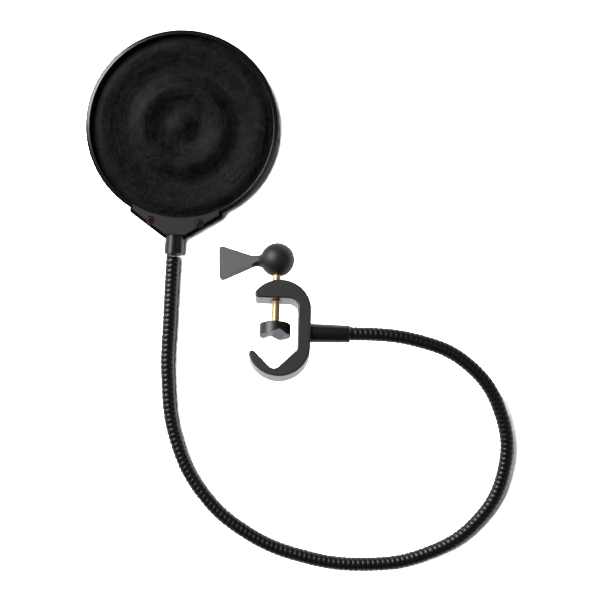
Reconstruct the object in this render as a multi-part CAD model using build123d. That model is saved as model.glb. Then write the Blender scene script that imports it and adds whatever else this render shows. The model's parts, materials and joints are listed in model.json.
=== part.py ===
from build123d import *
import math
import os

os.makedirs("parts", exist_ok=True)

# A pop filter on a gooseneck, lying on a flat surface: a round head of two wavy cloths in a
# two-part ring, a bracket that grips the ring, a bent gooseneck, and a C-clamp with a thumb screw.
# Millimetres and degrees. +Z is up, +Y runs from the neck's far bend to the head's top edge.

# ---------------------------------------------------------------- driving dimensions

# Head ring: two equal halves that meet at mid-thickness
ring_radius = 66.5
ring_half = 6.0
ring_wall = 1.4
lip_width = 3.2
lip_height = 2.2
shelf_width = 3.3
shelf_height = 2.0
crown_flat = 0.2
seam_bevel = 0.35

# Cloths: wave-formed discs, crests at the centre and once per wave length
cloth_thickness = 0.8
wave_length = 27.5
wave_height = 1.7
whole_waves = 2
cloth_edge_gap = 0.2
spacer_width = 4.4

# Bracket: a front plate and a rear shell on both sides of the ring, held by two screws
bracket_half_width = 29.6
bracket_shoulder_inside_ring = 6.5
bracket_foot_half_width = 6.7
bracket_foot_past_ring = 8.7
plate_thickness = 3.0
plate_corner_round = 1.2
plate_edge = 0.35
shell_margin = 2.4
shell_wall = 1.4
shell_wall_top = 10.5
shell_edge = 0.4
shell_fit = 0.2
bolt_x = 17.0
bolt_inside_ring = 0.1
post_radius = 2.8
post_fit = 0.2
m3_radius = 1.5
m3_head_radius = 2.7
m3_head_height = 1.7
m3_head_recess = 2.0
m3_length = 10.5
thread_fit = 0.05
hole_fit = 0.2
saddle_half_width = 8.0
saddle_wall = 0.9
saddle_gap = 0.4

# Gooseneck: links on one gently curved line, each with a ball at one end and a socket at the other
neck_radius = 4.8
neck_wall = 1.8
link_length = 42.4
link_straight = 7.0
link_turns = [-6, -32.3, -30, -32, -32.5, -27.5, -18, -15, -15.5, -22.9, -21.5, -15.5, -3, -0.5]
link_slopes = [0, -4.5, -7.5, -7.5, -5.5, -3.5, -1, 0, 0, 0, 0, 1, 1.5, 1, 0]
socket_wall = 0.98
ball_fit = 0.12
socket_reach = 1.6
link_shoulder = 3.3
stem_radius = 2.1
stem_bore = 1.1
plug_length = 2.5
neck_insertion = 10.0

# Ferrules at the two ends of the gooseneck
upper_sleeve_length = 13.8
upper_ferrule_gap = 0.3
upper_wall_inner = 1.7
upper_wall_outer = 1.9
upper_chamfer = 1.5
spigot_radius = 4.5
spigot_length = 7.8
collar_radius = 5.8
collar_start = 2.6
collar_width = 1.6
collar_fit = 0.1
lower_ferrule_length = 26.9
lower_wall_inner = 1.8
lower_wall_outer = 1.2
lower_chamfer = 0.8
neck_fit = 0.05
ferrule_bore = 1.6
grub_radius = 1.5
grub_sink = 0.3

# C-clamp frame, drawn in its own plane: x along the neck's end, y along the thumb screw
clamp_tilt = 17.0
clamp_turn = -1.7
clamp_width = 17.0
arm_outer_x = 7.3
arm_inner_x = -1.8
jaw_under_y = 22.0
frame_radius = 21.3
arch_centre_y = 13.9
hook_centre_y = -11.5
screw_x = -17.0
vee_apex_y = -29.2
nose_round = 3.0
inner_round = 6.5
heel_round = 3.0
vee_round = 4.5
tip_round = 2.4
frame_edge = 1.0

# Fixing screw from inside the C into the ferrule
m5_radius = 2.5
m5_head_radius = 4.6
m5_head_height = 2.6
m5_length = 17.0
m5_hole_spare = 1.0

# Thumb screw, its bush, knob, thrust washer and swivelling presser
m6_radius = 3.0
bush_wall = 1.8
bush_length = 10.0
running_fit = 0.06
jaw_hole_fit = 0.4
knob_distance = 51.7
knob_radius = 11.8
knob_grip = 4.0
knob_stem_wall = 1.0
knob_blend = 4.0
stem_straight = 17.0
stem_taper_end = 27.0
stem_tip_radius = 0.8
wing_reach = 40.6
wing_root = 12.0
wing_half_height = 12.9
wing_root_half_height = 0.9
wing_half_thickness = 2.2
wing_root_half_thickness = 4.4
wing_corner = 2.0
knob_turn = 8.7
knob_lean = 2.5
presser_radius = 10.7
presser_top_y = 5.4
presser_height = 8.4
presser_groove_depth = 2.8
presser_groove_half_width = 5.6
presser_groove_turn = 16.0
presser_groove_round = 1.6
presser_edge = 0.8
button_radius = 2.7
button_height = 1.9
button_roof = 1.2
button_fit = 0.1
pintle_radius = 1.8
washer_rim = 1.6
washer_height = 0.8
washer_play = 0.05

# ---------------------------------------------------------------- derived sizes

ring_height = 2 * ring_half
lip_inner = ring_radius - lip_width
shelf_inner = lip_inner - shelf_width
shelf_top = ring_height - lip_height
shelf_bottom = shelf_top - shelf_height
pocket_radius = ring_radius - ring_wall
spacer_height = 2 * (shelf_bottom - cloth_thickness - ring_half)
crown_inner_round = (lip_width - crown_flat) / 3
crown_outer_round = 2 * crown_inner_round
cloth_radius = pocket_radius - cloth_edge_gap
front_plate_top = ring_height + plate_thickness
neck_height_at_head = front_plate_top / 2
bracket_shoulder_y = bracket_shoulder_inside_ring - ring_radius
bracket_foot_y = -bracket_foot_past_ring - ring_radius
bolt_y = bolt_inside_ring - ring_radius
saddle_length = spigot_length - saddle_gap
neck_bore = neck_radius - neck_wall
ball_radius = neck_radius - socket_wall - ball_fit
upper_radius_inner = neck_radius + upper_wall_inner
upper_radius_outer = neck_radius + upper_wall_outer
lower_radius_inner = neck_radius + lower_wall_inner
lower_radius_outer = neck_radius + lower_wall_outer
bush_radius = m6_radius + bush_wall
washer_radius = m6_radius + washer_rim
stem_of_knob_radius = m6_radius + knob_stem_wall
ferrule_start_y = bracket_foot_y - upper_ferrule_gap
ferrule_end_y = ferrule_start_y - upper_sleeve_length
clamp_height = knob_radius + knob_distance * math.sin(math.radians(clamp_tilt))
arch_centre = (arm_outer_x - frame_radius, arch_centre_y)
hook_centre = (arm_outer_x - frame_radius, hook_centre_y)
washer_bottom_y = presser_top_y + washer_play
screw_shoulder_y = washer_bottom_y + washer_height + washer_play
button_top_y = presser_top_y - button_roof


def export(part, name):
    export_step(part, f"parts/{name}.step")


def turned(points, rounds=()):
    """A solid turned about Z from (radius, height) points; rounds are (point number, radius)."""
    face = make_face(Polyline(*points, close=True))
    for number, radius in rounds:
        face = fillet(nearest(face, points[number]), radius)
    return revolve(Plane.XZ * face, axis=Axis.Z)


def nearest(sketch, point):
    """The sketch's corner closest to a point."""
    return sketch.vertices().sort_by_distance((*point, 0))[0]


def rod(radius, start, end):
    """A cylinder about Z between two heights."""
    return Pos(0, 0, (start + end) / 2) * Cylinder(radius, end - start)


# ---------------------------------------------------------------- head
# Head frame: origin at the ring's centre on its back face, +Y away from the neck, +Z the front.


def ring_half_solid():
    """The front half of the ring: outer wall, crowned lip, and the shelf that holds a cloth down."""
    points = [
        (pocket_radius, ring_half),
        (ring_radius - seam_bevel, ring_half),
        (ring_radius, ring_half + seam_bevel),
        (ring_radius, ring_height),
        (lip_inner, ring_height),
        (lip_inner, shelf_top),
        (shelf_inner, shelf_top),
        (shelf_inner, shelf_bottom),
        (pocket_radius, shelf_bottom),
    ]
    half = turned(points, [(3, crown_outer_round), (4, crown_inner_round)])
    for side in (-1, 1):
        half -= Pos(side * bolt_x, bolt_y) * rod(post_radius + post_fit, 0, ring_height)
    return half


def wave_edge(level):
    """The cloth's wavy line in (radius, height): two equal arcs for each rise and each fall."""
    half_wave = wave_length / 2
    bend = (half_wave**2 + (2 * wave_height) ** 2) / (8 * wave_height)
    edges = []
    for count in range(2 * whole_waves):
        sign = 1 if count % 2 == 0 else -1
        start = (count * half_wave, level + sign * wave_height)
        middle = ((count + 0.5) * half_wave, level)
        end = ((count + 1) * half_wave, level - sign * wave_height)
        edges.append(RadiusArc(start, middle, sign * bend))
        edges.append(RadiusArc(middle, end, -sign * bend))
    last = edges[-1] @ 1
    edges.append(Spline(last, (shelf_inner, level), tangents=[(1, 0), (1, 0)]))
    edges.append(Line((shelf_inner, level), (cloth_radius, level)))
    return edges


def cloth(bottom):
    """One wave-formed cloth, flat at the clamped edge, with its flat edge's underside at bottom."""
    low = wave_edge(bottom)
    high = wave_edge(bottom + cloth_thickness)
    inner = Line(low[0] @ 0, high[0] @ 0)
    outer = Line(low[-1] @ 1, high[-1] @ 1)
    face = make_face([*low, *high, inner, outer])
    return revolve(Plane.XZ * face, axis=Axis.Z)


def bracket_outline(grow=0.0):
    """The bracket's five-sided outline, with its upper edge cut to the lip's inner circle."""
    corners = [
        (-bracket_half_width, -ring_radius / 2),
        (-bracket_half_width, bracket_shoulder_y),
        (-bracket_foot_half_width, bracket_foot_y),
        (bracket_foot_half_width, bracket_foot_y),
        (bracket_half_width, bracket_shoulder_y),
        (bracket_half_width, -ring_radius / 2),
    ]
    outline = make_face(Polyline(*corners, close=True))
    shoulders = [nearest(outline, corners[1]), nearest(outline, corners[4])]
    outline = fillet(shoulders, plate_corner_round)
    if grow:
        outline = offset(outline, amount=grow)
    return outline - Circle(lip_inner)


def saddle(bottom, top):
    """A block that grips one side of the ferrule's spigot."""
    middle_y = ferrule_start_y + spigot_length - saddle_length / 2
    return Pos(0, middle_y, (bottom + top) / 2) * Box(
        2 * saddle_half_width, saddle_length, top - bottom
    )


def spigot_room():
    """The space that the ferrule's spigot and collar fill between the plates."""
    room = rod(spigot_radius + thread_fit, -saddle_wall, spigot_length + saddle_wall)
    room += rod(
        collar_radius + collar_fit,
        collar_start - collar_fit,
        collar_start + collar_width + collar_fit,
    )
    return ferrule_place * room


# Ferrule axis in the head frame: height runs from the spigot's inner end towards the neck.
ferrule_place = Plane(
    origin=(0, ferrule_start_y + spigot_length, neck_height_at_head),
    x_dir=(1, 0, 0),
    z_dir=(0, -1, 0),
).location


def bracket_front_plate():
    plate = Pos(0, 0, ring_height) * extrude(bracket_outline(), plate_thickness)
    plate = chamfer(plate.faces().sort_by(Axis.Z)[-1].edges(), plate_edge)
    for side in (-1, 1):
        place = Pos(side * bolt_x, bolt_y)
        plate -= place * rod(m3_radius + hole_fit, ring_height, front_plate_top)
        recess = front_plate_top - m3_head_recess
        plate -= place * rod(m3_head_radius + hole_fit, recess, front_plate_top)
    return plate + saddle(neck_height_at_head, ring_height) - spigot_room()


def bracket_rear_shell():
    outer = bracket_outline(shell_margin)
    shell = extrude(outer, plate_thickness)
    rim = outer - bracket_outline(shell_margin - shell_wall) - Circle(ring_radius + shell_fit)
    shell += Pos(0, 0, plate_thickness) * extrude(rim, shell_wall_top - plate_thickness)
    shell = chamfer(shell.faces().sort_by(Axis.Z)[0].edges().sort_by(Axis.Y)[:3], shell_edge)
    for side in (-1, 1):
        place = Pos(side * bolt_x, bolt_y)
        shell += place * rod(post_radius, plate_thickness, ring_height)
        shell -= place * rod(m3_radius + thread_fit, plate_thickness / 2, ring_height)
    shell += saddle(plate_thickness, neck_height_at_head)
    notch = Pos(0, bracket_foot_y - shell_margin, neck_height_at_head)
    half = upper_radius_inner + 2 * shell_fit
    shell -= notch * Box(2 * half, 2 * shell_margin, 2 * ring_height)
    return shell - spigot_room()


def bracket_screws():
    head_bottom = front_plate_top - m3_head_recess
    screws = []
    for side in (-1, 1):
        shank = rod(m3_radius, front_plate_top - m3_length - m3_head_recess / 2, head_bottom)
        head = rod(m3_head_radius, head_bottom, head_bottom + m3_head_height)
        screws.append(Pos(side * bolt_x, bolt_y) * (shank + head))
    return Compound(children=screws)


def upper_ferrule():
    sleeve_end = spigot_length + upper_sleeve_length
    body = turned(
        [
            (ferrule_bore, 0),
            (spigot_radius, 0),
            (spigot_radius, collar_start),
            (collar_radius, collar_start),
            (collar_radius, collar_start + collar_width),
            (spigot_radius, collar_start + collar_width),
            (spigot_radius, spigot_length),
            (upper_radius_inner, spigot_length),
            (upper_radius_outer, sleeve_end - upper_chamfer),
            (upper_radius_outer - upper_chamfer, sleeve_end),
            (neck_radius + neck_fit, sleeve_end),
            (neck_radius + neck_fit, sleeve_end - neck_insertion),
            (ferrule_bore, sleeve_end - neck_insertion),
        ]
    )
    return body - grub_hole(sleeve_end - neck_insertion / 2)


def grub_hole(height):
    """A radial hole on the underside of a ferrule whose axis is Z and whose top is +Y."""
    return Pos(0, 0, height) * Rot(90, 0, 0) * rod(grub_radius + thread_fit, 0, 2 * neck_radius)


def grub(height, sleeve_radius):
    start = neck_radius + neck_fit
    return Pos(0, 0, height) * Rot(90, 0, 0) * rod(grub_radius, start, sleeve_radius - grub_sink)


# ---------------------------------------------------------------- gooseneck route
# Stations run from the clamp to the head; each holds a point and the line's direction there.


def direction(heading, slope):
    heading = math.radians(heading)
    slope = math.radians(slope)
    level = math.cos(slope)
    return Vector(level * math.cos(heading), level * math.sin(heading), math.sin(slope))


class Link:
    """A link's centre line: straight at both ends, with a circular arc between two directions."""

    def __init__(self, start, first, last):
        self.start = start
        self.first = first
        self.last = last
        turn = math.acos(first.dot(last))
        bend = (link_length - 2 * link_straight) / turn
        self.turn = math.degrees(turn)
        self.arc_start = start + first * link_straight
        inward = (last - first * math.cos(turn)).normalized()
        self.axis = Axis(self.arc_start + inward * bend, first.cross(last).normalized())
        self.arc_end = self.arc_start + (first * math.sin(turn) + inward * (1 - math.cos(turn))) * bend
        self.end = self.arc_end + last * link_straight

    def curved_tube(self):
        wall = Circle(neck_radius) - Circle(neck_bore)
        section = Plane(origin=self.arc_start, z_dir=self.first) * wall
        return revolve(section, axis=self.axis, revolution_arc=self.turn)


def route(steepness):
    """The links from the lower ferrule to the upper one, with every slope times steepness."""
    heading = clamp_turn
    along_x = arm_outer_x + lower_ferrule_length
    point = Vector(0, 0, clamp_height) + direction(heading, 0) * along_x
    directions = [direction(heading, link_slopes[0])]
    for turn, slope in zip(link_turns, link_slopes[1:]):
        heading += turn
        directions.append(direction(heading, steepness * slope))
    links = []
    for first, last in zip(directions, directions[1:]):
        links.append(Link(point, first, last))
        point = links[-1].end
    return links


def aligned(point, axis_direction):
    """A place whose Z axis runs along a direction."""
    return Plane(origin=point, z_dir=axis_direction).location


def height_on(sphere_radius, radius):
    """How far from a sphere's middle plane its surface is at a distance from its axis."""
    return math.sqrt(sphere_radius**2 - radius**2)


def ball_end():
    """A link's near end: ball, stem and shoulder, hollow for the core wire."""
    plug_top = link_shoulder + plug_length
    ball_bottom = (stem_bore, -height_on(ball_radius, stem_bore))
    ball_top = (stem_radius, height_on(ball_radius, stem_radius))
    wall = Polyline(
        ball_top,
        (stem_radius, link_shoulder),
        (neck_radius, link_shoulder),
        (neck_radius, link_straight),
        (neck_bore, link_straight),
        (neck_bore, plug_top),
        (stem_bore, plug_top),
        ball_bottom,
    )
    ball = ThreePointArc(ball_bottom, (ball_radius, 0), ball_top)
    return revolve(Plane.XZ * make_face([wall, ball]), axis=Axis.Z)


def socket_end():
    """A link's far end: a socket that reaches past the next ball's middle."""
    socket_radius = ball_radius + ball_fit
    mouth = (height_on(socket_radius, socket_reach), socket_reach)
    seat = (neck_bore, -height_on(socket_radius, neck_bore))
    wall = Polyline(
        mouth,
        (neck_radius, socket_reach),
        (neck_radius, -link_straight),
        (neck_bore, -link_straight),
        seat,
    )
    socket = ThreePointArc(seat, (socket_radius, 0), mouth)
    return revolve(Plane.XZ * make_face([wall, socket]), axis=Axis.Z)


def plain_end(start, finish):
    """A straight tube that is held in a ferrule."""
    return rod(neck_radius, start, finish) - rod(neck_bore, start, finish)


def neck_link(links, number):
    """One hollow link: a ball on a stem towards the clamp, a socket towards the head."""
    link = links[number]
    if number == 0:
        near = plain_end(-neck_insertion, link_straight)
    else:
        near = ball_end()
    if number == len(links) - 1:
        far = plain_end(-link_straight, neck_insertion)
    else:
        far = socket_end()
    body = link.curved_tube() + aligned(link.start, link.first) * near
    return body + aligned(link.end, link.last) * far


# ---------------------------------------------------------------- clamp
# Clamp frame: origin on the ferrule's axis, X along the ferrule, Y along the thumb screw
# towards the knob, Z across the clamp's width.


def frame_outline():
    """The C, drawn anticlockwise: two equal arcs that run smoothly into the arm's outer side."""
    nose_angle = 180 - math.degrees(math.asin((jaw_under_y - arch_centre_y) / frame_radius))
    arch = CenterArc(arch_centre, frame_radius, 0, nose_angle)
    nose = ((arch @ 1).X, jaw_under_y)
    heel = (arm_inner_x, vee_apex_y + (arm_inner_x - screw_x))
    apex = (screw_x, vee_apex_y)
    tip = hook_tip()
    tip_angle = math.degrees(math.atan2(tip[1] - hook_centre[1], tip[0] - hook_centre[0])) % 360
    edges = [
        Line((arm_outer_x, hook_centre_y), arch @ 0),
        arch,
        Line(nose, (arm_inner_x, jaw_under_y)),
        Line((arm_inner_x, jaw_under_y), heel),
        Line(heel, apex),
        Line(apex, tip),
        CenterArc(hook_centre, frame_radius, tip_angle, 360 - tip_angle),
    ]
    outline = make_face(edges)
    corners = [
        (nose, nose_round),
        ((arm_inner_x, jaw_under_y), inner_round),
        (heel, heel_round),
        (apex, vee_round),
        (tip, tip_round),
    ]
    for place, radius in corners:
        outline = fillet(nearest(outline, place), radius)
    return outline


def hook_tip():
    """Where the vee's outer flank, at 45 degrees, meets the hook's outer circle."""
    across = screw_x - hook_centre[0]
    up = vee_apex_y - hook_centre[1]
    linear = up - across
    constant = across**2 + up**2 - frame_radius**2
    run = (-linear + math.sqrt(linear**2 - 2 * constant)) / 2
    return (screw_x - run, vee_apex_y + run)


along_screw = Plane(origin=(screw_x, 0, 0), x_dir=(1, 0, 0), z_dir=(0, 1, 0)).location
along_ferrule = Plane(origin=(0, 0, 0), x_dir=(0, 1, 0), z_dir=(1, 0, 0)).location


def clamp_frame():
    frame = extrude(frame_outline(), clamp_width / 2, both=True)
    rims = frame.faces().filter_by(Axis.Z).edges()
    frame = fillet(rims, frame_edge)
    top = arch_centre_y + frame_radius
    frame -= along_screw * rod(bush_radius, jaw_under_y, jaw_under_y + bush_length)
    frame -= along_screw * rod(m6_radius + jaw_hole_fit, jaw_under_y + bush_length / 2, top)
    frame -= along_ferrule * rod(m5_radius + hole_fit, arm_inner_x, arm_outer_x)
    frame -= along_ferrule * countersink(hole_fit / 2)
    return frame


def countersink(grow):
    """The fixing screw's flat conical head, flush with the inside of the C."""
    return turned(
        [
            (0, arm_inner_x),
            (m5_head_radius + grow, arm_inner_x),
            (m5_radius + grow, arm_inner_x + m5_head_height),
            (0, arm_inner_x + m5_head_height),
        ]
    )


def ferrule_screw():
    return along_ferrule * (countersink(0) + rod(m5_radius, arm_inner_x, arm_inner_x + m5_length))


def lower_ferrule():
    start = arm_outer_x
    end = arm_outer_x + lower_ferrule_length
    screw_hole_end = arm_inner_x + m5_length + m5_hole_spare
    body = turned(
        [
            (m5_radius + thread_fit, start),
            (lower_radius_inner, start),
            (lower_radius_outer, end - lower_chamfer),
            (lower_radius_outer - lower_chamfer, end),
            (neck_radius + neck_fit, end),
            (neck_radius + neck_fit, end - neck_insertion),
            (ferrule_bore, end - neck_insertion),
            (ferrule_bore, screw_hole_end),
            (m5_radius + thread_fit, screw_hole_end),
        ]
    )
    return along_ferrule * (body - grub_hole(end - neck_insertion / 2))


def jaw_bush():
    bush = rod(bush_radius, jaw_under_y, jaw_under_y + bush_length)
    return along_screw * (bush - rod(m6_radius + running_fit, jaw_under_y, jaw_under_y + bush_length))


def clamp_screw():
    """The thumb screw: threaded shank, pintle, and the button that the presser swivels on."""
    screw = rod(m6_radius, screw_shoulder_y, knob_distance + knob_grip)
    screw += rod(pintle_radius, button_top_y - button_height, screw_shoulder_y)
    screw += rod(button_radius, button_top_y - button_height, button_top_y)
    return along_screw * screw


def thrust_washer():
    washer = rod(washer_radius, washer_bottom_y, washer_bottom_y + washer_height)
    return along_screw * (washer - rod(pintle_radius + running_fit, 0, screw_shoulder_y))


def presser_pad():
    """A round presser with a shallow vee across its face, swivelling on the screw's button."""
    bottom = presser_top_y - presser_height
    pad = rod(presser_radius, bottom, presser_top_y)
    pad = fillet(pad.edges().group_by(Axis.Z)[-1], presser_edge)
    lips = [(-presser_groove_half_width, bottom), (presser_groove_half_width, bottom)]
    apex = (0, bottom + presser_groove_depth)
    section = make_face(
        Polyline(
            (-2 * presser_radius, bottom),
            lips[0],
            apex,
            lips[1],
            (2 * presser_radius, bottom),
            (2 * presser_radius, presser_top_y),
            (-2 * presser_radius, presser_top_y),
            close=True,
        )
    )
    for corner in (*lips, apex):
        section = fillet(nearest(section, corner), presser_groove_round)
    grooved = extrude(Plane.XZ * section, 2 * presser_radius, both=True)
    pad &= Rot(0, 0, presser_groove_turn) * grooved
    pad -= rod(pintle_radius + button_fit, button_top_y, presser_top_y)
    cavity_bottom = button_top_y - button_height - button_fit
    pad -= rod(button_radius + button_fit, cavity_bottom, button_top_y + button_fit)
    return along_screw * pad


def knob():
    """A ball with a waisted stem that spreads into a flat fish-tail wing."""
    reach = knob_radius + knob_blend
    rise = stem_of_knob_radius + knob_blend
    centre_x = math.sqrt(reach**2 - rise**2)
    on_ball = (centre_x * knob_radius / reach, rise * knob_radius / reach)
    edges = [
        Line((0, 0), on_ball),
        RadiusArc(on_ball, (centre_x, stem_of_knob_radius), -knob_blend),
        Line((centre_x, stem_of_knob_radius), (stem_straight, stem_of_knob_radius)),
        Line((stem_straight, stem_of_knob_radius), (stem_taper_end, stem_tip_radius)),
        Line((stem_taper_end, stem_tip_radius), (stem_taper_end, 0)),
        Line((stem_taper_end, 0), (0, 0)),
    ]
    stem = revolve(make_face(edges), axis=Axis.X)
    plan = make_face(
        Polyline(
            (wing_root, -wing_root_half_height),
            (wing_reach, -wing_half_height),
            (wing_reach, wing_half_height),
            (wing_root, wing_root_half_height),
            close=True,
        )
    )
    plan = fillet(plan.vertices().group_by(Axis.X)[-1], wing_corner)
    wedge = make_face(
        Polyline(
            (wing_root, -wing_root_half_thickness),
            (wing_reach, -wing_half_thickness),
            (wing_reach, wing_half_thickness),
            (wing_root, wing_root_half_thickness),
            close=True,
        )
    )
    wing = extrude(plan, 2 * knob_radius, both=True)
    wing &= extrude(Plane.XZ * wedge, 2 * wing_half_height, both=True)
    handle = Rot(0, 0, -knob_lean) * (stem + wing)
    whole = Rot(0, -knob_turn, 0) * mirror(Sphere(knob_radius) + handle, Plane.YZ)
    whole = Pos(screw_x, knob_distance, 0) * whole
    return whole - along_screw * rod(m6_radius, 0, knob_distance + knob_grip)


# ---------------------------------------------------------------- assembly

pieces = {}
tilted_up = Vector(
    -math.sin(math.radians(clamp_turn)) * math.sin(math.radians(clamp_tilt)),
    math.cos(math.radians(clamp_turn)) * math.sin(math.radians(clamp_tilt)),
    math.cos(math.radians(clamp_tilt)),
)
clamp_place = Plane(
    origin=(0, 0, clamp_height), x_dir=direction(clamp_turn, 0), z_dir=tilted_up
).location

lower_grub = grub(arm_outer_x + lower_ferrule_length - neck_insertion / 2, lower_radius_outer)
clamp_pieces = {
    "clamp_frame": clamp_frame(),
    "ferrule_screw": ferrule_screw(),
    "lower_ferrule": lower_ferrule(),
    "lower_grub_screw": along_ferrule * lower_grub,
    "jaw_bush": jaw_bush(),
    "thrust_washer": thrust_washer(),
    "clamp_screw": clamp_screw(),
    "knob": knob(),
    "presser_pad": presser_pad(),
}
for name, piece in clamp_pieces.items():
    pieces[name] = clamp_place * piece

# The neck comes down from the clamp just far enough for the head's back to lie on the surface.
steepness = 1.0
for _ in range(4):
    steepness *= (clamp_height - neck_height_at_head) / (clamp_height - route(steepness)[-1].end.Z)
neck = route(steepness)
for number in range(len(neck)):
    pieces[f"neck_link_{number + 1:02d}"] = neck_link(neck, number)

head_direction = neck[-1].last
head_origin = neck[-1].end - head_direction * ferrule_end_y - Vector(0, 0, neck_height_at_head)
head_place = Plane(
    origin=head_origin, x_dir=head_direction.cross(Vector(0, 0, 1)), z_dir=(0, 0, 1)
).location

front_ring = ring_half_solid()
rear_ring = mirror(front_ring, Plane.XY.offset(ring_half))
pocket = extrude(bracket_outline(shell_margin + shell_fit), plate_thickness)
upper_grub = grub(spigot_length + upper_sleeve_length - neck_insertion / 2, upper_radius_outer)
spacer_profile = rod(cloth_radius, ring_half - spacer_height / 2, ring_half + spacer_height / 2)
head_pieces = {
    "front_ring": front_ring,
    "rear_ring": rear_ring - pocket,
    "spacer_ring": spacer_profile - rod(cloth_radius - spacer_width, 0, ring_height),
    "front_cloth": cloth(shelf_bottom - cloth_thickness),
    "rear_cloth": cloth(ring_height - shelf_bottom),
    "bracket_front_plate": bracket_front_plate(),
    "bracket_rear_shell": bracket_rear_shell(),
    "bracket_screws": bracket_screws(),
    "upper_ferrule": ferrule_place * upper_ferrule(),
    "upper_grub_screw": ferrule_place * upper_grub,
}
for name, piece in head_pieces.items():
    pieces[name] = head_place * piece

# The origin is the middle of the whole object's footprint, on the surface it lies on.
boxes = [piece.bounding_box() for piece in pieces.values()]
middle_x = (min(box.min.X for box in boxes) + max(box.max.X for box in boxes)) / 2
middle_y = (min(box.min.Y for box in boxes) + max(box.max.Y for box in boxes)) / 2
lowest = min(box.min.Z for box in boxes)
to_origin = Pos(-middle_x, -middle_y, -lowest)
for name, piece in pieces.items():
    export(to_origin * piece, name)
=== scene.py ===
import json
import math

import bpy
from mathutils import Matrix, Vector
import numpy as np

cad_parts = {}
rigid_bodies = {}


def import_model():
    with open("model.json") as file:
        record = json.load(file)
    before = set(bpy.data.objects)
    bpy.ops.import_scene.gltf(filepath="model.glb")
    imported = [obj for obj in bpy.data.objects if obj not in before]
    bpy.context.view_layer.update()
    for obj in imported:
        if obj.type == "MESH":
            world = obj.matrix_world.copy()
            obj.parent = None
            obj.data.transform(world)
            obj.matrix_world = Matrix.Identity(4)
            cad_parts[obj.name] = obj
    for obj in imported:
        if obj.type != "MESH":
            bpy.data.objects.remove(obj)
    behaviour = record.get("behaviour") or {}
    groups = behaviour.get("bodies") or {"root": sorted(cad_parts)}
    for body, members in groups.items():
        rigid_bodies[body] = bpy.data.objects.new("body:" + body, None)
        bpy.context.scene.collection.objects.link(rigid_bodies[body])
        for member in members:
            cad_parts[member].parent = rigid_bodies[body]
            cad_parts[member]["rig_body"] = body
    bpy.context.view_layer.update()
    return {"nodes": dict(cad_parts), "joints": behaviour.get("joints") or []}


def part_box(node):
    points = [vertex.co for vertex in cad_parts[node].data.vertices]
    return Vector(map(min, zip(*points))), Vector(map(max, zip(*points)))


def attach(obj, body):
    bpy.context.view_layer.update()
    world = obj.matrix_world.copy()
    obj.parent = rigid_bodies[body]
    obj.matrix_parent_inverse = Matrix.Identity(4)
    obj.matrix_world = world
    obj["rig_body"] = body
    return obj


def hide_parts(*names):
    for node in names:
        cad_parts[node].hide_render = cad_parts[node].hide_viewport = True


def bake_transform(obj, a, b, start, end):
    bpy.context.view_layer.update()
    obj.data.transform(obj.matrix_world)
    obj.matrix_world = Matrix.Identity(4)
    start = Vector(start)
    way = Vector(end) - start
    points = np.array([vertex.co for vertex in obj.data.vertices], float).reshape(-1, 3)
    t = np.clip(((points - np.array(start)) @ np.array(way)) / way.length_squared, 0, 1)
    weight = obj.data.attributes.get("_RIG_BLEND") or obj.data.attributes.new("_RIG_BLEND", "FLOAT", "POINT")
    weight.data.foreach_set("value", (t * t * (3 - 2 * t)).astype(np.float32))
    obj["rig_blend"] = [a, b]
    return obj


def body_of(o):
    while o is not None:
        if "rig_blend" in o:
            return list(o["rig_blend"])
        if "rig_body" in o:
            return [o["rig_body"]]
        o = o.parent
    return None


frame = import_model()
nodes = frame["nodes"]
joints = {joint["name"]: joint for joint in frame["joints"]}
mm = 0.001


# ---------------------------------------------------------------- stage
# A white light table seen from straight above, with its own wide soft light, and one soft
# window at the upper left for the object. The room above the table reflects dark.
camera_place = (0.02 * mm, 0.75 * mm, 1.150)
camera_view = math.radians(20.6)
floor_size = 12.0
floor_drop = 0.05 * mm
glow_from = 0.5
glow_full = 2.0
table_paint = (0.80, 0.80, 0.80, 1)
table_glow = (0.95, 0.95, 0.95, 1)
table_mirrored = (0.20, 0.20, 0.213, 1)
table_bounced = (0.02, 0.02, 0.02, 1)
room_dark = (0.05, 0.05, 0.053, 1)
backdrop_white = (0.98, 0.98, 0.98, 1)

window_from = Vector((-0.66, 0.44, 0.61))
window_distance = 1.5
window_size = 0.95
window_power = 38.0
fill_from = Vector((0.75, -0.25, 0.60))
fill_power = 1.5
table_from = Vector((-0.44, 0.19, 1.0))
table_light_size = 0.8
table_power = 190.0


def soft_window(name, side, distance, size, power):
    """A square area light that looks at the middle of the table."""
    place = side.normalized() * distance
    bpy.ops.object.light_add(type="AREA", location=place)
    light = bpy.context.object
    light.name = name
    light.rotation_euler = side.to_track_quat("Z", "Y").to_euler()
    light.data.shape = "SQUARE"
    light.data.size = size
    light.data.energy = power
    return light


def bare_material(name):
    """A new material, with its node tree and its shader."""
    material = bpy.data.materials.new(name)
    material.use_nodes = True
    return material, material.node_tree, material.node_tree.nodes["Principled BSDF"]


bpy.ops.object.select_all(action="DESELECT")
bpy.ops.object.camera_add(location=camera_place, rotation=(0, 0, 0))
camera = bpy.context.object
camera.name = "camera"
camera.data.angle = camera_view
bpy.context.scene.camera = camera
bpy.context.scene.view_settings.view_transform = "Standard"

soft_window("window", window_from, window_distance, window_size, window_power)
soft_window("fill", fill_from, window_distance, window_size, fill_power)
table_light = soft_window(
    "table_light", table_from, window_distance, table_light_size, table_power
)

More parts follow.
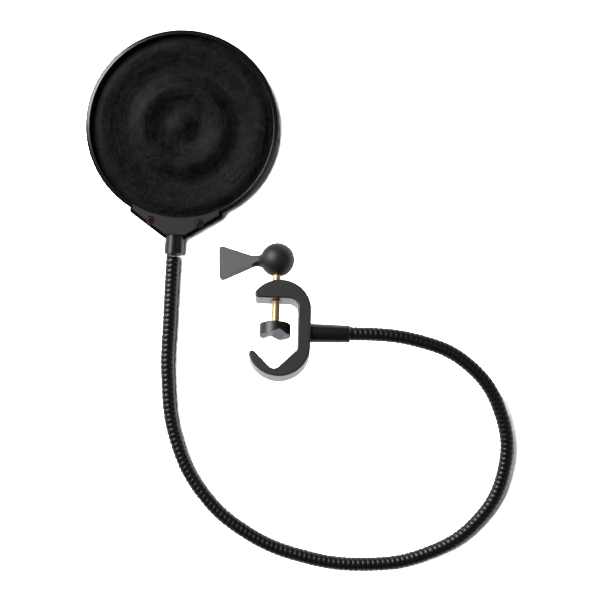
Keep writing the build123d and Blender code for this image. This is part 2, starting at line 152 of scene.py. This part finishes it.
world = bpy.data.worlds.new("room")
world.use_nodes = True
bpy.context.scene.world = world
tree = world.node_tree
room = tree.nodes["Background"]
room.inputs["Color"].default_value = room_dark
backdrop = tree.nodes.new("ShaderNodeBackground")
backdrop.inputs["Color"].default_value = backdrop_white
seen = tree.nodes.new("ShaderNodeLightPath")
either = tree.nodes.new("ShaderNodeMixShader")
tree.links.new(seen.outputs["Is Camera Ray"], either.inputs[0])
tree.links.new(room.outputs[0], either.inputs[1])
tree.links.new(backdrop.outputs[0], either.inputs[2])
tree.links.new(either.outputs[0], tree.nodes["World Output"].inputs["Surface"])

bpy.ops.mesh.primitive_plane_add(size=floor_size, location=(0, 0, -floor_drop))
floor = bpy.context.object
floor.name = "table"
table_white, tree, shader = bare_material("table white")
shader.inputs["Base Color"].default_value = table_paint
shader.inputs["Roughness"].default_value = 0.8
place = tree.nodes.new("ShaderNodeTexCoord")
distance = tree.nodes.new("ShaderNodeVectorMath")
distance.operation = "LENGTH"
far_glow = tree.nodes.new("ShaderNodeMapRange")
far_glow.interpolation_type = "SMOOTHSTEP"
far_glow.inputs["From Min"].default_value = glow_from
far_glow.inputs["From Max"].default_value = glow_full
tree.links.new(place.outputs["Object"], distance.inputs[0])
tree.links.new(distance.outputs["Value"], far_glow.inputs["Value"])
tree.links.new(far_glow.outputs[0], shader.inputs["Emission Strength"])
shader.inputs["Emission Color"].default_value = table_glow
# The eye sees the table white; shiny surfaces mirror it grey, and it bounces little light.
dim = tree.nodes.new("ShaderNodeBsdfDiffuse")
bounce = tree.nodes.new("ShaderNodeMix")
bounce.data_type = "RGBA"
bounce.inputs["A"].default_value = table_bounced
bounce.inputs["B"].default_value = table_mirrored
seen = tree.nodes.new("ShaderNodeLightPath")
either = tree.nodes.new("ShaderNodeMixShader")
tree.links.new(seen.outputs["Is Glossy Ray"], bounce.inputs["Factor"])
tree.links.new(bounce.outputs["Result"], dim.inputs["Color"])
tree.links.new(seen.outputs["Is Camera Ray"], either.inputs[0])
tree.links.new(dim.outputs[0], either.inputs[1])
tree.links.new(shader.outputs[0], either.inputs[2])
tree.links.new(either.outputs[0], tree.nodes["Material Output"].inputs["Surface"])
floor.data.materials.append(table_white)
table_only = bpy.data.collections.new("table_only")
table_only.objects.link(floor)
table_light.light_linking.receiver_collection = table_only


# ---------------------------------------------------------------- gooseneck
# A black-coated steel coil of round wire, wound close, that holds whatever bend it is given.
# It follows one smooth line through the joints, in 13 pieces: one round each joint, cut on a
# whole turn near the middle of a link. The two end pieces run on into the ferrules.
coil_radius = 4.8 * mm
coil_pitch = 3.45 * mm
coil_height = 0.32 * mm
coil_wall = 0.7 * mm
coil_sides = 40
arch_sides = 48
line_steps = 32
link_count = 14
crease_angle = math.radians(35)
ferrule_lengths = {"lower_ferrule": 26.9 * mm, "upper_ferrule": 21.6 * mm}
coil_insertion = 4 * mm
bend_reach = 14 * mm
near_zero = 0.001 * mm


def middle(node):
    """The middle of a node's box."""
    low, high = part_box(node)
    return (low + high) / 2


def grain_group():
    """Fine grain and broad mottling, as a mould or a coat of paint leaves them."""
    group = bpy.data.node_groups.new("grain", "ShaderNodeTree")
    for name, kind in (("Vector", "Vector"), ("Grain", "Float"), ("Patch", "Float")):
        group.interface.new_socket(name=name, in_out="INPUT", socket_type="NodeSocket" + kind)
    for name in ("Fleck", "Mottle", "Height"):
        group.interface.new_socket(name=name, in_out="OUTPUT", socket_type="NodeSocketFloat")
    inlet = group.nodes.new("NodeGroupInput")
    outlet = group.nodes.new("NodeGroupOutput")
    fleck = group.nodes.new("ShaderNodeTexNoise")
    fleck.inputs["Detail"].default_value = 3
    mottle = group.nodes.new("ShaderNodeTexNoise")
    mottle.inputs["Detail"].default_value = 4
    pits = group.nodes.new("ShaderNodeTexVoronoi")
    pits.feature = "SMOOTH_F1"
    both = group.nodes.new("ShaderNodeMath")
    both.operation = "ADD"
    links = group.links
    for texture, size in ((fleck, "Grain"), (pits, "Grain"), (mottle, "Patch")):
        links.new(inlet.outputs["Vector"], texture.inputs["Vector"])
        links.new(inlet.outputs[size], texture.inputs["Scale"])
    links.new(fleck.outputs[0], both.inputs[0])
    links.new(pits.outputs["Distance"], both.inputs[1])
    links.new(fleck.outputs[0], outlet.inputs["Fleck"])
    links.new(mottle.outputs[0], outlet.inputs["Mottle"])
    links.new(both.outputs[0], outlet.inputs["Height"])
    return group


grain = grain_group()


def grained(name, dark, light, smooth, rough, grain_size, grain_depth, patch_size=12 * mm):
    """A finish that mottles between two colours and two roughnesses, with a fine bumpy grain."""
    material, tree, shader = bare_material(name)
    place = tree.nodes.new("ShaderNodeTexCoord")
    pattern = tree.nodes.new("ShaderNodeGroup")
    pattern.node_tree = grain
    pattern.inputs["Grain"].default_value = 1 / grain_size
    pattern.inputs["Patch"].default_value = 1 / patch_size
    colour = tree.nodes.new("ShaderNodeMix")
    colour.data_type = "RGBA"
    colour.inputs["A"].default_value = (*dark, 1)
    colour.inputs["B"].default_value = (*light, 1)
    gloss = tree.nodes.new("ShaderNodeMapRange")
    gloss.inputs["To Min"].default_value = smooth
    gloss.inputs["To Max"].default_value = rough
    bump = tree.nodes.new("ShaderNodeBump")
    bump.inputs["Distance"].default_value = grain_depth
    bump.inputs["Strength"].default_value = 1.0
    tree.links.new(place.outputs["Object"], pattern.inputs["Vector"])
    tree.links.new(pattern.outputs["Mottle"], colour.inputs["Factor"])
    tree.links.new(pattern.outputs["Fleck"], gloss.inputs["Value"])
    tree.links.new(pattern.outputs["Height"], bump.inputs["Height"])
    tree.links.new(colour.outputs["Result"], shader.inputs["Base Color"])
    tree.links.new(gloss.outputs[0], shader.inputs["Roughness"])
    tree.links.new(bump.outputs[0], shader.inputs["Normal"])
    return material, shader


def chosen_only(piece):
    bpy.ops.object.select_all(action="DESELECT")
    piece.select_set(True)
    bpy.context.view_layer.objects.active = piece


def apply_modifier(piece, kind, **settings):
    """Adds one modifier, sets it and applies it."""
    chosen_only(piece)
    modifier = piece.modifiers.new(kind, kind)
    for name, value in settings.items():
        setattr(modifier, name, value)
    bpy.ops.object.modifier_apply(modifier=modifier.name)


def clean_up(piece):
    """Merges doubled points and turns every face outwards."""
    chosen_only(piece)
    bpy.ops.object.mode_set(mode="EDIT")
    bpy.ops.mesh.select_all(action="SELECT")
    bpy.ops.mesh.remove_doubles(threshold=near_zero)
    bpy.ops.mesh.normals_make_consistent(inside=False)
    bpy.ops.object.mode_set(mode="OBJECT")


def coil_line():
    """One smooth curve from inside the lower ferrule, through each joint, into the upper one."""
    lower_axis = (middle("lower_ferrule") - middle("ferrule_screw")).normalized()
    upper_axis = (middle("upper_ferrule") - middle("front_ring")).to_2d().normalized().to_3d()
    ends = []
    for node, axis in (("lower_ferrule", lower_axis), ("upper_ferrule", upper_axis)):
        mouth = middle(node) + axis * ferrule_lengths[node] / 2
        ends.append([mouth - axis * coil_insertion, mouth])
    between = [Vector(joint["pos_m"]) for name, joint in joints.items() if name.startswith("neck")]
    points = ends[0] + between + ends[1][::-1]
    bpy.ops.object.select_all(action="DESELECT")
    bpy.ops.curve.primitive_bezier_curve_add()
    line = bpy.context.object
    line.name = "coil_line"
    curve = line.data
    curve.resolution_u = line_steps
    curve.twist_mode = "Z_UP"
    spline = curve.splines[0]
    spline.bezier_points.add(len(points) - len(spline.bezier_points))
    for knot, point in zip(spline.bezier_points, points):
        knot.handle_left_type = knot.handle_right_type = "AUTO"
        knot.co = point
    return line, between


def coil_piece(name, first_turn, turns, line):
    """A run of the coil: the wire's arched outside, wound along X and then bent onto the line."""
    arch = (coil_pitch**2 / 4 + coil_height**2) / (2 * coil_height)
    start = first_turn * coil_pitch
    bpy.ops.object.select_all(action="DESELECT")
    bpy.ops.mesh.primitive_circle_add(
        vertices=arch_sides,
        radius=arch,
        location=(start + coil_pitch / 2, 0, coil_radius - arch),
        rotation=(math.pi / 2, 0, 0),
    )
    coil = bpy.context.object
    coil.name = name
    bpy.ops.object.transform_apply()
    bpy.ops.object.mode_set(mode="EDIT")
    for side, way in ((start, -1), (start + coil_pitch, 1)):
        bpy.ops.mesh.select_all(action="SELECT")
        bpy.ops.mesh.bisect(plane_co=(side, 0, 0), plane_no=(way, 0, 0), clear_outer=True)
    bpy.ops.mesh.select_all(action="SELECT")
    bpy.ops.mesh.bisect(plane_co=(0, 0, 0), plane_no=(0, 0, -1), clear_outer=True)
    bpy.ops.object.mode_set(mode="OBJECT")
    apply_modifier(
        coil,
        "SCREW",
        axis="X",
        angle=math.tau,
        screw_offset=coil_pitch,
        iterations=turns,
        steps=coil_sides,
        render_steps=coil_sides,
    )
    clean_up(coil)
    apply_modifier(coil, "SOLIDIFY", thickness=coil_wall, offset=-1)
    apply_modifier(coil, "CURVE", object=line, deform_axis="POS_X")
    bpy.ops.object.shade_smooth_by_angle(angle=crease_angle)
    return coil


coil_black, shader = grained(
    "coil black",
    dark=(0.0025, 0.0025, 0.0026),
    light=(0.005, 0.005, 0.0052),
    smooth=0.30,
    rough=0.38,
    grain_size=0.8 * mm,
    grain_depth=0.002 * mm,
)
shader.inputs["Specular IOR Level"].default_value = 0.38

line, stations = coil_line()
line_length = sum(spline.calc_length() for spline in line.data.splines)
span = (line_length - 2 * coil_insertion) / (len(stations) + 1)
bodies = ["clamp"] + [f"neck_{number:02d}" for number in range(2, link_count)] + ["head"]
cuts = [round((coil_insertion + span * (step + 0.5)) / coil_pitch) for step in range(link_count)]
cuts[0] = 0
cuts[-1] = math.floor(line_length / coil_pitch) - 1
for number, station in enumerate(stations):
    turns = cuts[number + 1] - cuts[number]
    piece = coil_piece(f"gooseneck_{number + 1:02d}", cuts[number], turns, line)
    piece.data.materials.append(coil_black)
    before = stations[number - 1] if number else middle("lower_ferrule")
    after = stations[number + 1] if number + 1 < len(stations) else middle("upper_ferrule")
    along = (after - before).normalized() * bend_reach
    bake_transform(piece, bodies[number], bodies[number + 1], station - along, station + along)
    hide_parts(f"neck_link_{number + 1:02d}")
    if number + 1 == len(stations):
        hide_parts(f"neck_link_{number + 2:02d}")
bpy.data.objects.remove(line)


# ---------------------------------------------------------------- clamp and ferrules
# The C of the clamp is die-cast and painted satin charcoal; the two ferrules are turned
# from aluminium and anodised black, slightly glossier than the paint.
def finish_node(material, *names):
    """Gives CAD nodes their finish in every material slot."""
    for name in names:
        for place in nodes[name].material_slots:
            place.material = material


paint_charcoal, shader = grained(
    "paint charcoal",
    dark=(0.005, 0.005, 0.0046),
    light=(0.010, 0.0102, 0.0090),
    smooth=0.40,
    rough=0.52,
    grain_size=0.45 * mm,
    grain_depth=0.012 * mm,
)
shader.inputs["Coat Weight"].default_value = 0.6
shader.inputs["Coat Roughness"].default_value = 0.28
ferrule_black, _ = grained(
    "ferrule black",
    dark=(0.003, 0.003, 0.0032),
    light=(0.006, 0.006, 0.0062),
    smooth=0.28,
    rough=0.38,
    grain_size=0.30 * mm,
    grain_depth=0.004 * mm,
)
finish_node(paint_charcoal, "clamp_frame")
finish_node(ferrule_black, "lower_ferrule", "upper_ferrule")


# ---------------------------------------------------------------- thumb screw
# A brass M6 rod with a rolled thread and a brass thrust washer, and a knob moulded from
# black nylon: a ball with a fish-tail wing. A rubber presser swivels on the rod's foot.
thread_radius = 2.94 * mm
thread_depth = 0.30 * mm
thread_pitch = 1.0 * mm
thread_sides = 28
thread_crease = math.radians(25)
tooth_crest = (0.4, 0.6)
washer_height = 0.8 * mm
rod_into_knob = 4 * mm

brass, shader = grained(
    "brass",
    dark=(0.66, 0.50, 0.29),
    light=(0.84, 0.70, 0.47),
    smooth=0.32,
    rough=0.46,
    grain_size=0.25 * mm,
    grain_depth=0.003 * mm,
    patch_size=5 * mm,
)
shader.inputs["Metallic"].default_value = 0.9
knob_black, _ = grained(
    "knob nylon",
    dark=(0.005, 0.0052, 0.0045),
    light=(0.011, 0.0113, 0.0098),
    smooth=0.47,
    rough=0.58,
    grain_size=0.40 * mm,
    grain_depth=0.006 * mm,
)
rubber, _ = grained(
    "presser rubber",
    dark=(0.003, 0.003, 0.003),
    light=(0.006, 0.006, 0.006),
    smooth=0.36,
    rough=0.48,
    grain_size=0.30 * mm,
    grain_depth=0.010 * mm,
)
finish_node(brass, "thrust_washer")
finish_node(knob_black, "knob")
finish_node(rubber, "presser_pad")


def set_along(piece, foot, direction):
    """Stands a piece that was made along +X onto a line, and fixes its place in its mesh."""
    turn = direction.to_track_quat("X", "Z").to_matrix().to_4x4()
    piece.data.transform(turn)
    for point in piece.data.vertices:
        point.co += foot


def thumb_rod():
    """The threaded rod: one tooth of the thread, wound along X, with both ends filled."""
    foot = Vector(joints["presser_swivel"]["pos_m"])
    knob_middle = Vector(joints["screw_turn"]["pos_m"])
    direction = (knob_middle - foot).normalized()
    length = (knob_middle - foot).length + rod_into_knob - washer_height
    turns = math.floor(length / thread_pitch) - 1
    bpy.ops.object.select_all(action="DESELECT")
    bpy.ops.mesh.primitive_plane_add(size=thread_pitch, location=(thread_pitch / 2, 0, 0))
    rod = bpy.context.object
    rod.name = "thumb_rod"
    bpy.ops.object.transform_apply()
    bpy.ops.object.mode_set(mode="EDIT")
    bpy.ops.mesh.select_all(action="SELECT")
    bpy.ops.mesh.delete(type="EDGE_FACE")
    bpy.ops.object.mode_set(mode="OBJECT")
    low = thread_radius - thread_depth
    tooth = [(0, low), *((along, thread_radius) for along in tooth_crest), (1, low)]
    for point, (along, radius) in zip(rod.data.vertices, tooth):
        point.co = (along * thread_pitch, 0, radius)
    rod.data.edges.add(len(tooth) - 1)
    for number, edge in enumerate(rod.data.edges):
        edge.vertices = (number, number + 1)
    apply_modifier(
        rod,
        "SCREW",
        axis="X",
        angle=math.tau,
        screw_offset=thread_pitch,
        iterations=turns,
        steps=thread_sides,
        render_steps=thread_sides,
    )
    bpy.ops.object.mode_set(mode="EDIT")
    for side, way in ((thread_pitch, -1), (turns * thread_pitch, 1)):
        bpy.ops.mesh.select_all(action="SELECT")
        bpy.ops.mesh.bisect(
            plane_co=(side, 0, 0), plane_no=(way, 0, 0), clear_outer=True, use_fill=True
        )
    bpy.ops.object.mode_set(mode="OBJECT")
    clean_up(rod)
    bpy.ops.object.shade_smooth_by_angle(angle=thread_crease)
    set_along(rod, foot + direction * (washer_height - thread_pitch), direction)
    return rod


rod = thumb_rod()
rod.data.materials.append(brass)
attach(rod, "thumb_screw")
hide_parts("clamp_screw")


# ---------------------------------------------------------------- head
# Two moulded rings meet at mid-thickness round a spacer; the bracket's front plate is a
# lighter grey moulding than the rings and the rear shell that it closes.
ring_black, _ = grained(
    "ring black",
    dark=(0.003, 0.003, 0.003),
    light=(0.005, 0.005, 0.005),
    smooth=0.22,
    rough=0.32,
    grain_size=0.35 * mm,
    grain_depth=0.006 * mm,
)
plate_grey, _ = grained(
    "plate grey",
    dark=(0.004, 0.0045, 0.0038),
    light=(0.009, 0.0100, 0.0083),
    smooth=0.50,
    rough=0.62,
    grain_size=0.40 * mm,
    grain_depth=0.008 * mm,
)
finish_node(ring_black, "rear_ring", "spacer_ring", "bracket_rear_shell")
finish_node(plate_grey, "bracket_front_plate")

head_middle = middle("front_ring").to_2d().to_3d()
head_up = (head_middle - middle("bracket_screws").to_2d().to_3d()).normalized()
head_right = Vector((head_up.y, -head_up.x, 0))
turning_segments = 192


def turned(name, profile):
    """Rings of one circle, drawn out from the first (radius, height) to the last, in mm."""
    (radius, height), *rest = profile
    bpy.ops.object.select_all(action="DESELECT")
    bpy.ops.mesh.primitive_circle_add(
        vertices=turning_segments,
        radius=radius * mm,
        location=head_middle + Vector((0, 0, height * mm)),
    )
    piece = bpy.context.object
    piece.name = name
    bpy.ops.object.transform_apply()
    bpy.ops.object.mode_set(mode="EDIT")
    bpy.ops.mesh.select_all(action="SELECT")
    for next_radius, next_height in rest:
        rise = (next_height - height) * mm
        bpy.ops.mesh.extrude_edges_move(TRANSFORM_OT_translate={"value": (0, 0, rise)})
        share = next_radius / radius
        bpy.ops.transform.resize(value=(share, share, 1), center_override=head_middle)
        radius, height = next_radius, next_height
    bpy.ops.object.mode_set(mode="OBJECT")
    return piece


# ---------------------------------------------------------------- front ring
# The front half of the ring, moulded in one: its lip is highest at the inner edge and falls
# away outwards, and its rim meets the rear ring halfway down.
front_profile = [
    (66.1, 6.0),
    (66.5, 6.4),
    (66.5, 10.7),
    (63.9, 11.95),
    (63.3, 11.7),
    (63.3, 7.7),
    (65.1, 7.7),
    (65.1, 6.0),
    (66.1, 6.0),
]
lip_edge = 0.35 * mm

front_lip = turned("front_lip", front_profile)
clean_up(front_lip)
apply_modifier(front_lip, "BEVEL", width=lip_edge, segments=3, limit_method="ANGLE")
bpy.ops.object.shade_smooth_by_angle(angle=crease_angle)
front_lip.data.materials.append(ring_black)
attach(front_lip, "head")
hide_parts("front_ring")


# ---------------------------------------------------------------- cloths
# The two cloths are black nylon tricot, formed in rings: a crest in the middle and another
# halfway out, then a wide shoulder that dips into the groove beside the lip.
# Radii and rises are in millimetres, and each rise is above the middle of the cloth's box.
cloth_edge = 64.9
cloth_sheet = 0.35 * mm
cloth_step = 0.9
weave_pitch = 0.9 * mm
streak_width = 4.5 * mm
blotch_size = 9 * mm
blotch_share = 0.55
fold_depth = 1.2 * mm
stitch_depth = 0.12 * mm
wave_radians = 20
cloth_knots = [
    (0.0, 1.7),
    (13.0, -1.5),
    (27.0, 1.9),
    (38.5, -1.2),
    (55.5, 1.2),
    (62.8, -0.4),
    (cloth_edge, -0.4),
]


def tricot_group():
    """Knitted nylon round a middle: a fine grid of stitches under broad streaks and mottling."""
    group = bpy.data.node_groups.new("tricot", "ShaderNodeTree")
    group.interface.new_socket(name="Vector", in_out="INPUT", socket_type="NodeSocketVector")
    for name in ("Streak", "Stitch"):
        group.interface.new_socket(name=name, in_out="OUTPUT", socket_type="NodeSocketFloat")
    inlet = group.nodes.new("NodeGroupInput")
    outlet = group.nodes.new("NodeGroupOutput")
    links = group.links

    flat = group.nodes.new("ShaderNodeVectorMath")
    flat.operation = "MULTIPLY"
    flat.inputs[1].default_value = (1, 1, 0)
    outward = group.nodes.new("ShaderNodeVectorMath")
    outward.operation = "NORMALIZE"
    radius = group.nodes.new("ShaderNodeVectorMath")
    radius.operation = "LENGTH"
    split = group.nodes.new("ShaderNodeSeparateXYZ")
    polar = group.nodes.new("ShaderNodeCombineXYZ")
    across = group.nodes.new("ShaderNodeMath")
    across.operation = "MULTIPLY"
    across.inputs[1].default_value = 1 / streak_width
    links.new(inlet.outputs["Vector"], flat.inputs[0])
    links.new(flat.outputs[0], outward.inputs[0])
    links.new(flat.outputs[0], radius.inputs[0])
    links.new(radius.outputs["Value"], across.inputs[0])
    links.new(outward.outputs[0], split.inputs[0])
    links.new(across.outputs[0], polar.inputs["X"])
    links.new(split.outputs["X"], polar.inputs["Y"])
    links.new(split.outputs["Y"], polar.inputs["Z"])

    streak = group.nodes.new("ShaderNodeTexNoise")
    streak.inputs["Scale"].default_value = 1.3
    streak.inputs["Detail"].default_value = 6
    streak.inputs["Roughness"].default_value = 0.62
    streak.inputs["Distortion"].default_value = 0.9
    links.new(polar.outputs[0], streak.inputs["Vector"])
    blotch = group.nodes.new("ShaderNodeTexNoise")
    blotch.inputs["Scale"].default_value = 1 / blotch_size
    blotch.inputs["Detail"].default_value = 4
    blotch.inputs["Roughness"].default_value = 0.6
    blotch.inputs["Distortion"].default_value = 1.4
    links.new(inlet.outputs["Vector"], blotch.inputs["Vector"])
    mixed = group.nodes.new("ShaderNodeMix")
    mixed.inputs["Factor"].default_value = blotch_share
    links.new(streak.outputs[0], mixed.inputs["A"])
    links.new(blotch.outputs[0], mixed.inputs["B"])
    links.new(mixed.outputs["Result"], outlet.inputs["Streak"])

    rows = []
    for way in ("X", "Y"):
        band = group.nodes.new("ShaderNodeTexWave")
        band.bands_direction = way
        band.inputs["Scale"].default_value = math.tau / (wave_radians * weave_pitch)
        band.inputs["Distortion"].default_value = 0.4
        links.new(inlet.outputs["Vector"], band.inputs["Vector"])
        rows.append(band)
    stitch = group.nodes.new("ShaderNodeMath")
    stitch.operation = "MULTIPLY"
    links.new(rows[0].outputs["Fac"], stitch.inputs[0])
    links.new(rows[1].outputs["Fac"], stitch.inputs[1])
    links.new(stitch.outputs[0], outlet.inputs["Stitch"])
    return group


def tricot_cloth(name, dark, light):
    """The cloth's finish: the streaks colour it, and the stitches and the streaks raise it."""
    material, tree, shader = bare_material(name)
    place = tree.nodes.new("ShaderNodeTexCoord")
    centred = tree.nodes.new("ShaderNodeMapping")
    centred.vector_type = "TEXTURE"
    centred.inputs["Location"].default_value = head_middle
    centred.inputs["Rotation"].default_value = (0, 0, math.atan2(head_right.y, head_right.x))
    knit = tree.nodes.new("ShaderNodeGroup")
    knit.node_tree = tricot_group()
    contrast = tree.nodes.new("ShaderNodeMapRange")
    contrast.inputs["From Min"].default_value = 0.42
    contrast.inputs["From Max"].default_value = 0.60
    colour = tree.nodes.new("ShaderNodeMix")
    colour.data_type = "RGBA"
    colour.inputs["A"].default_value = (*dark, 1)
    colour.inputs["B"].default_value = (*light, 1)
    folds = tree.nodes.new("ShaderNodeBump")
    folds.inputs["Distance"].default_value = fold_depth
    folds.inputs["Strength"].default_value = 0.8
    stitches = tree.nodes.new("ShaderNodeBump")
    stitches.inputs["Distance"].default_value = stitch_depth
    stitches.inputs["Strength"].default_value = 0.8
    links = tree.links
    links.new(place.outputs["Object"], centred.inputs["Vector"])
    links.new(centred.outputs[0], knit.inputs["Vector"])
    links.new(knit.outputs["Streak"], contrast.inputs["Value"])
    links.new(contrast.outputs[0], colour.inputs["Factor"])
    links.new(colour.outputs["Result"], shader.inputs["Base Color"])
    links.new(knit.outputs["Streak"], folds.inputs["Height"])
    links.new(knit.outputs["Stitch"], stitches.inputs["Height"])
    links.new(folds.outputs[0], stitches.inputs["Normal"])
    links.new(stitches.outputs[0], shader.inputs["Normal"])
    shader.inputs["Roughness"].default_value = 0.55
    shader.inputs["Specular IOR Level"].default_value = 0.10
    return material


def cloth_profile(level):
    """Rings from the edge to the middle, with a smooth rise or fall between each two knots."""
    profile = []
    for (near, low), (far, high) in zip(cloth_knots[-2::-1], cloth_knots[::-1]):
        rings = math.ceil((far - near) / cloth_step)
        for ring in range(rings):
            share = ring / rings
            ease = share * share * (3 - 2 * share)
            rise = high + (low - high) * ease
            profile.append((far + (near - far) * share, level + rise))
    return profile


def wave_cloth(name, node):
    """A formed cloth, drawn in from its edge ring by ring and closed with a fan in the middle."""
    cloth = turned(name, cloth_profile(middle(node).z / mm))
    bpy.ops.object.mode_set(mode="EDIT")
    bpy.ops.mesh.edge_face_add()
    bpy.ops.mesh.poke()
    bpy.ops.object.mode_set(mode="OBJECT")
    clean_up(cloth)
    apply_modifier(cloth, "SOLIDIFY", thickness=cloth_sheet, offset=0)
    bpy.ops.object.shade_smooth_by_angle(angle=crease_angle)
    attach(cloth, "head")
    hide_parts(node)
    return cloth


nylon_black = tricot_cloth(
    "nylon black", dark=(0.0003, 0.0003, 0.0003), light=(0.0082, 0.0080, 0.0077)
)
for name, node in (("cloth_front", "front_cloth"), ("cloth_rear", "rear_cloth")):
    cloth = wave_cloth(name, node)
    cloth.data.materials.append(nylon_black)


# ---------------------------------------------------------------- screws
# Two cross-recessed pan screws hold the bracket together, and their plated heads look brown.
# The jaw's bush, the screw inside the C and the two grub screws are dark steel.
pan_radius = 2.7 * mm
pan_height = 1.5 * mm
pan_edge = 0.7 * mm
pan_sides = 48
recess_width = 0.75 * mm
recess_length = 3.1 * mm
recess_depth = 1.1 * mm
recess_turn = 0.5
bolt_line = 17.0 * mm

screw_brown, shader = grained(
    "screw brown",
    dark=(0.020, 0.007, 0.005),
    light=(0.060, 0.024, 0.016),
    smooth=0.30,
    rough=0.45,
    grain_size=0.20 * mm,
    grain_depth=0.004 * mm,
    patch_size=3 * mm,
)
shader.inputs["Metallic"].default_value = 0.6
steel_dark, shader = grained(
    "steel dark",
    dark=(0.030, 0.030, 0.031),
    light=(0.060, 0.060, 0.061),
    smooth=0.28,
    rough=0.42,
    grain_size=0.25 * mm,
    grain_depth=0.004 * mm,
    patch_size=4 * mm,
)
shader.inputs["Metallic"].default_value = 1.0


def pan_screw(name, place):
    """A pan head with a cross recess, its top at the given place."""
    bpy.ops.object.select_all(action="DESELECT")
    bpy.ops.mesh.primitive_cylinder_add(
        vertices=pan_sides,
        radius=pan_radius,
        depth=pan_height,
        location=place - Vector((0, 0, pan_height / 2)),
    )
    head = bpy.context.object
    head.name = name
    bpy.ops.object.transform_apply()
    apply_modifier(head, "BEVEL", width=pan_edge, segments=5, limit_method="ANGLE")
    for turn in (0, math.pi / 2):
        bpy.ops.object.select_all(action="DESELECT")
        bpy.ops.mesh.primitive_cube_add(size=1, location=place, rotation=(0, 0, turn + recess_turn))
        bit = bpy.context.object
        bit.scale = (recess_length, recess_width, 2 * recess_depth)
        bpy.ops.object.transform_apply()
        apply_modifier(head, "BOOLEAN", object=bit, operation="DIFFERENCE", solver="EXACT")
        bpy.data.objects.remove(bit)
    clean_up(head)
    bpy.ops.object.shade_smooth_by_angle(angle=crease_angle)
    return head


screws_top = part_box("bracket_screws")[1].z
for name, side in (("bracket_screw_left", -1), ("bracket_screw_right", 1)):
    place = middle("bracket_screws") + head_right * side * bolt_line
    place.z = screws_top
    screw = pan_screw(name, place)
    screw.data.materials.append(screw_brown)
    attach(screw, "head")
    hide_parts("bracket_screws")
finish_node(steel_dark, "jaw_bush", "ferrule_screw", "upper_grub_screw", "lower_grub_screw")


# ---------------------------------------------------------------- table shadow
# The clamp hangs clear of the table and leaves no shadow on it. Only the head and the
# gooseneck past its first two pieces, which lie down, stop the table's own light.
lying = bpy.data.collections.new("lying")
low_bodies = set(bodies[2:])
for thing in bpy.context.scene.objects:
    riding = body_of(thing)
    if riding and low_bodies.issuperset(riding):
        lying.objects.link(thing)
table_light.light_linking.blocker_collection = lying
